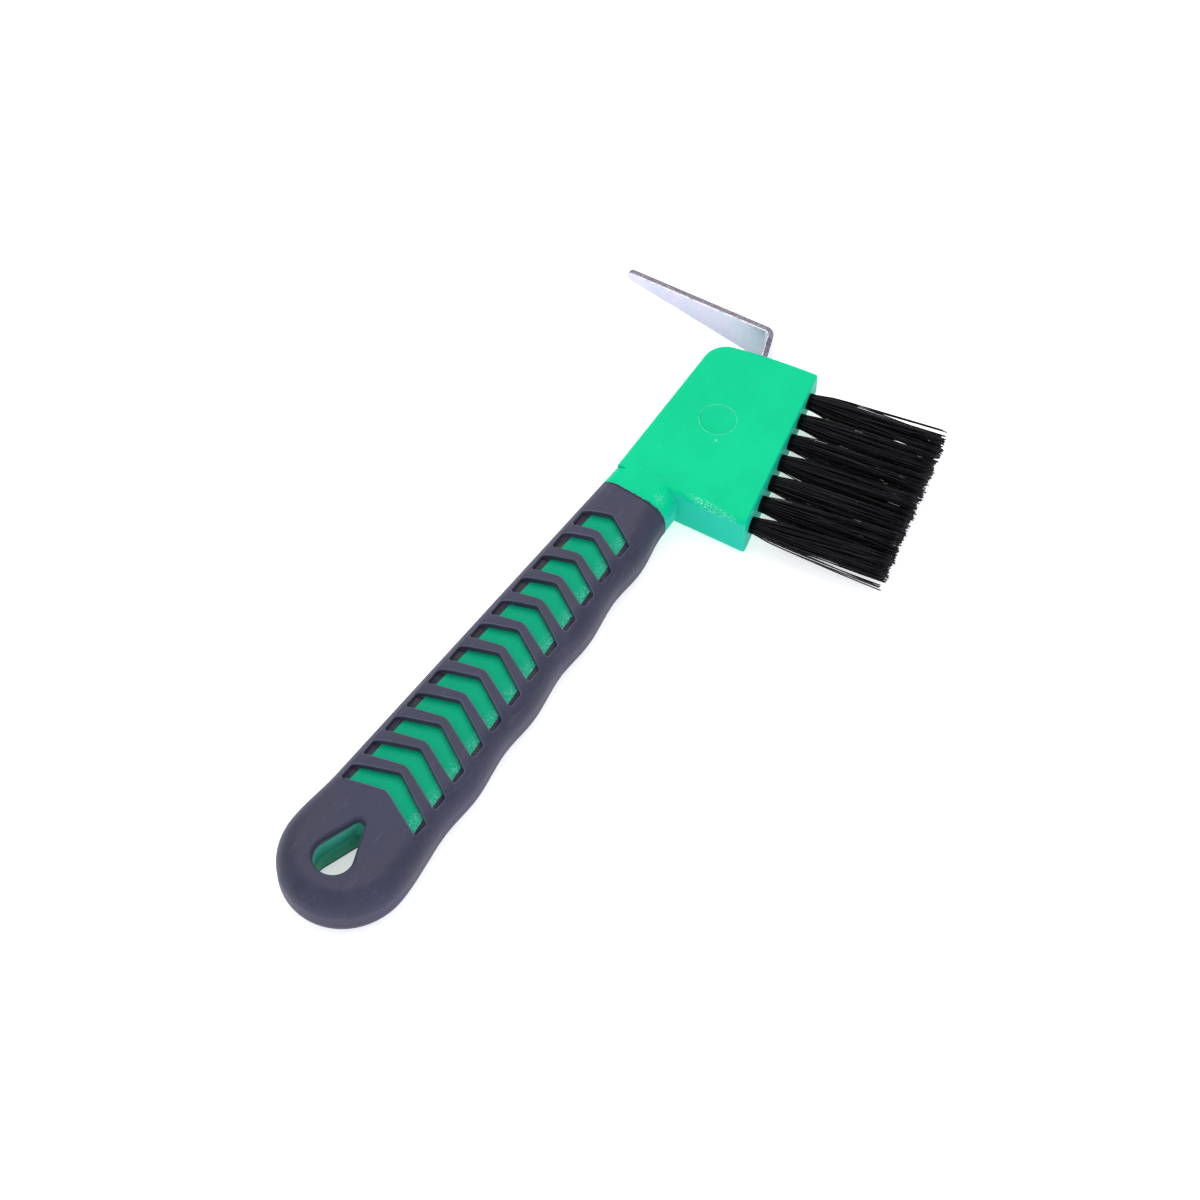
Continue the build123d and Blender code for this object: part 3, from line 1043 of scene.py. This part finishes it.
@dataclass
class BristleRow:
    """The row of tufts, every filament drawn by itself.

    Attributes:
        anchor_depth: From the middle of an anchor to the brush face.
        packing: How far apart the filaments stand in their hole.
        root_depth: How far the filaments reach into the hole.
        meet_at: How far out the tufts meet their neighbours.
        flare: How early they spread on the way there.
        meet_half: The tuft's half width along the row where they meet.
        meet_thick: Its half thickness across the row there.
        cut_mean: How far the longest filaments pass the drawn tuft.
        wander: How far a tip leans by chance.
        crossing: How much the filaments change places on the way out, from 0 to 1.
        wave: How far a filament swings from a straight line.
        row_lean: How far the row's middle tuft leans along the row.
        tip_draw: How much more each next tuft leans.
        outer: Filaments past this share of the tuft's radius may stray.
        stray_share: What share of those does.
        near_stray: How far the first tuft's strays may stand apart.
        tone: The vertex attribute that holds each filament's shade.
    """

    tufts: int = 7
    anchor_depth: float = 7.2
    filament: float = 0.160
    packing: float = 0.300
    jitter: float = 0.05
    sides: int = 5
    rings: int = 9
    root_radius: float = 1.58
    root_depth: float = 2.5
    meet_at: float = 9.5
    flare: float = 2.1
    meet_half: float = 2.74
    meet_thick: float = 2.60
    tip_half: float = 2.80
    tip_thick: float = 3.75
    cut_mean: float = 0.55
    cut_scatter: float = 0.60
    slant: float = 0.8
    wander: float = 0.26
    crossing: float = 0.45
    wave: float = 0.07
    row_lean: float = -0.6
    tip_draw: float = -0.22
    outer: float = 0.70
    stray_share: float = 0.6
    near_stray: float = 3.6
    far_stray: float = 1.7
    seed: int = 41
    tone: str = "tone"

    def __post_init__(self) -> None:
        """Works out the row's directions from the anchors."""
        first, last = middle("tuft_anchor_1"), middle(f"tuft_anchor_{self.tufts}")
        self.along = (last - first).normalized()
        self.out = Vector((self.along.y, -self.along.x, 0)).normalized()
        self.up = Vector((0, 0, 1))
        self.random = random.Random(self.seed)

    def mouth(self, number: int) -> Vector:
        """The middle of a tuft's hole, on the brush face."""
        return middle(f"tuft_anchor_{number}") + self.out * self.anchor_depth * MM

    def reach(self, number: int) -> float:
        """How far a tuft stands out of the brush face.

        Args:
            number: The tuft's number.

        Returns:
            The length, in millimetres.
        """
        start = self.mouth(number)
        far = max((v.co - start).dot(self.out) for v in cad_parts[f"tuft_{number}"].data.vertices)
        return far / MM

    def spread(self, s: float, length: float) -> tuple[float, float]:
        """Half sizes of a tuft at a distance out.

        Args:
            s: Distance from the brush face, in millimetres.
            length: The tuft's length.

        Returns:
            The half width along the row and the half thickness across it.
        """
        if s <= self.meet_at:
            t = 1 - (1 - max(0.0, s / self.meet_at)) ** self.flare
            return (self.root_radius + (self.meet_half - self.root_radius) * t,
                    self.root_radius + (self.meet_thick - self.root_radius) * t)
        t = (s - self.meet_at) / (length - self.meet_at)
        return (self.meet_half + (self.tip_half - self.meet_half) * t,
                self.meet_thick + (self.tip_thick - self.meet_thick) * t)

    def bundle(self) -> list[tuple[float, float]]:
        """Places of a tuft's filaments in its hole.

        Returns:
            Pairs along and across the row, from -1 to 1.
        """
        row_step = self.packing * math.sqrt(0.75)
        rows = int(self.root_radius / row_step) + 1
        places = []
        for j in range(-rows, rows + 1):
            for i in range(-rows - 1, rows + 2):
                a = (i + 0.5 * (j % 2)) * self.packing + self.random.uniform(-self.jitter, self.jitter)
                b = j * row_step + self.random.uniform(-self.jitter, self.jitter)
                if math.hypot(a, b) <= self.root_radius:
                    places.append((a / self.root_radius, b / self.root_radius))
        return places

    def centreline(self, number: int, a: float, b: float, length: float, stray: float) -> list[Vector]:
        """One filament's middle line.

        Args:
            number: The tuft's number.
            a: Its place along the row, from -1 to 1.
            b: Its place across the row, from -1 to 1.
            length: How far it stands out, in millimetres.
            stray: How far its tip leaves the bundle along the row, in millimetres.

        Returns:
            Points from inside the hole to the cut end, in metres.
        """
        start = self.mouth(number)
        full = self.reach(number)
        lean = self.row_lean + (number - (self.tufts + 1) / 2) * self.tip_draw
        drift_a, drift_b = self.random.gauss(0, self.wander), self.random.gauss(0, self.wander * 1.2)
        turn, away = self.random.uniform(0, math.tau), math.sqrt(self.random.random())
        cross_a, cross_b = away * math.cos(turn) - a, away * math.sin(turn) - b
        wave, phase = self.random.uniform(0.0, self.wave), self.random.uniform(0, math.tau)
        line = []
        for k in range(self.rings + 1):
            s = -self.root_depth + (length + self.root_depth) * k / self.rings
            half, thick = self.spread(s, full)
            t = max(0.0, s / full)
            swap = self.crossing * t
            swell = 1 / math.hypot(1 - swap, swap)
            x = (a + cross_a * swap) * swell * half + lean * t + drift_a * t * t + stray * t ** 1.3
            z = (b + cross_b * swap) * swell * thick + drift_b * t * t
            x += wave * math.sin(phase + 3.0 * t) * t
            z += wave * math.cos(phase + 2.2 * t) * t
            line.append(start + (self.out * s + self.along * x + self.up * z) * MM)
        return line

    def tube(
            self, mesh: Mesh, line: list[Vector], tone: float,
            layer: bmesh.types.BMLayerItem) -> None:
        """Adds one filament as a closed tube with a slanting cut end.

        Args:
            mesh: The mesh to add to.
            line: Its middle line.
            tone: Its shade, from 0 to 1.
            layer: The vertex layer that holds the shade.
        """
        rings = []
        turn = self.random.uniform(0, math.tau)
        slant = self.random.uniform(-self.slant, self.slant)
        for k, point in enumerate(line):
            ring = []
            for i in range(self.sides):
                angle = turn + math.tau * i / self.sides
                step = (self.along * math.cos(angle) + self.up * math.sin(angle)) * self.filament * MM
                if k == len(line) - 1:
                    step += self.out * slant * self.filament * math.cos(angle) * MM
                vert = mesh.verts.new(point + step)
                vert[layer] = tone
                ring.append(vert)
            rings.append(ring)
        for a, b in zip(rings, rings[1:]):
            for i in range(self.sides):
                j = (i + 1) % self.sides
                mesh.faces.new((a[i], a[j], b[j], b[i]))
        mesh.faces.new(rings[0][::-1])
        mesh.faces.new(rings[-1])

    def stray(self, number: int, a: float) -> float:
        """How far a filament's tip strays: a few of the end tufts' outer ones stand apart.

        Args:
            number: The tuft's number.
            a: The filament's place along the row, from -1 to 1.

        Returns:
            The distance along the row, in millimetres.
        """
        if number == 1 and a < -self.outer and self.random.random() < self.stray_share:
            return -self.random.uniform(0.6, self.near_stray)
        if number == self.tufts and a > self.outer and self.random.random() < self.stray_share:
            return self.random.uniform(0.4, self.far_stray)
        return 0.0

    def build(self) -> list[Piece]:
        """Builds and dresses the tufts.

        Returns:
            The pieces.
        """
        nylon = NylonFilament(self.tone).build()
        made = []
        for number in range(1, self.tufts + 1):
            mesh = bmesh.new()
            layer = mesh.verts.layers.float.new(self.tone)
            full = self.reach(number)
            for a, b in self.bundle():
                length = full + self.cut_mean - abs(self.random.gauss(0.0, self.cut_scatter))
                line = self.centreline(number, a, b, length, self.stray(number, a))
                self.tube(mesh, line, self.random.random(), layer)
            bmesh.ops.recalc_face_normals(mesh, faces=mesh.faces[:])
            piece = cast(mesh, f"bristles_{number}", nylon)
            made.append(seat(piece, Slot.BRISTLE, f"tuft_{number}"))
        return made

    def dress_anchors(self) -> None:
        """Gives the anchors their own finish."""
        wire = AnchorWire().build()
        for number in range(1, self.tufts + 1):
            dress(f"tuft_anchor_{number}", wire)


def dress(node: str, material: Material) -> None:
    """Gives a CAD node its material.

    Args:
        node: The node.
        material: Its material.
    """
    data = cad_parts[node].data
    data.materials.clear()
    data.materials.append(material)
    log.info("%s: %s", node, material.name)


# ---- Studio ----
@dataclass(frozen=True)
class SoftBox:
    """A square lamp aimed at the object.

    Attributes:
        place: Where it stands, in metres.
        size: The length of its side, in metres.
        power: Its power, in watts.
    """

    name: str
    place: tuple[float, float, float]
    size: float
    power: float
    colour: Colour


@dataclass
class Studio:
    """Paper floor, soft lights and the camera.

    Attributes:
        floor_size: The paper's side, in metres.
        floor_gap: How far below the object it lies.
        roll_start: How far back it begins to roll up, in metres.
        roll_rise: How steeply it rolls up.
        distance: The camera's distance, in metres.
    """

    floor_size: float = 6.0
    floor_steps: int = 24
    floor_gap: float = 0.05
    roll_start: float = 1.2
    roll_rise: float = 0.35
    azimuth: float = 34.5
    elevation: float = 58.0
    distance: float = 0.860
    aim: Vector = field(default_factory=lambda: mm(8.165, 87.237, 0.0))
    lens: float = 116.87
    sensor: float = 36.0
    sky: Colour = (0.97, 0.975, 1.0)
    sky_strength: float = 0.95
    boxes: tuple[SoftBox, ...] = (
        SoftBox("key_box", (-0.55, 0.75, 1.25), 1.1, 12.0, (1.0, 1.0, 1.0)),
        SoftBox("fill_box", (0.9, -0.9, 0.5), 0.9, 5.0, (0.86, 0.93, 1.0)))

    def floor(self) -> None:
        """A wide sheet of paper under the object, gently rolled up far behind it."""
        mesh = bmesh.new()
        bmesh.ops.create_grid(
            mesh, x_segments=self.floor_steps, y_segments=self.floor_steps, size=self.floor_size / 2)
        for vert in mesh.verts:
            behind = max(0.0, vert.co.y - self.roll_start)
            vert.co.z = self.roll_rise * behind * behind
        paper = cast(mesh, "paper_floor", StudioPaper().build())
        paper.location.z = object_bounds()[0].z - self.floor_gap * MM
        paper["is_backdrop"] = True

    def lamp(self, box: SoftBox) -> None:
        """Sets up one lamp.

        Args:
            box: What it is and where it stands.
        """
        data = bpy.data.lights.new(box.name, "AREA")
        data.shape = "SQUARE"
        data.size, data.energy, data.color = box.size, box.power, box.colour
        made = bpy.data.objects.new(box.name, data)
        made.location = box.place
        made.rotation_mode = "QUATERNION"
        made.rotation_quaternion = (self.aim - Vector(box.place)).to_track_quat("-Z", "Y")
        bpy.context.scene.collection.objects.link(made)

    def lights(self) -> None:
        """An even sky, a broad soft box above and a weak cool one in front."""
        world = bpy.data.worlds.new("studio_sky")
        bpy.context.scene.world = world
        world.use_nodes = True
        background = world.node_tree.nodes["Background"]
        background.inputs["Color"].default_value = (*self.sky, 1.0)
        background.inputs["Strength"].default_value = self.sky_strength
        for box in self.boxes:
            self.lamp(box)

    def camera(self) -> None:
        """A long lens looking down on the upper face."""
        turn, rise = math.radians(self.azimuth), math.radians(self.elevation)
        back = Vector((math.sin(turn) * math.cos(rise), -math.cos(turn) * math.cos(rise), math.sin(rise)))
        data = bpy.data.cameras.new("studio_camera")
        data.lens, data.sensor_width = self.lens, self.sensor
        data.clip_start, data.clip_end = 0.05, 50.0
        made = bpy.data.objects.new("studio_camera", data)
        made.location = self.aim + back * self.distance
        made.rotation_mode = "QUATERNION"
        made.rotation_quaternion = (-back).to_track_quat("-Z", "Y")
        bpy.context.scene.collection.objects.link(made)
        bpy.context.scene.camera = made

    def build(self) -> None:
        """Sets the whole studio up."""
        self.floor()
        self.lights()
        self.camera()
        bpy.context.scene.view_settings.view_transform = "Standard"


def main() -> None:
    """Builds the object and its studio, and reports each piece."""
    logging.basicConfig(level=logging.INFO, format="%(message)s")
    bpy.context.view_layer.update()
    GreenBody().build()
    RubberGrip().build()
    SteelHook().build()
    row = BristleRow()
    row.build()
    row.dress_anchors()
    Studio().build()


if __name__ == "__main__":
    main()
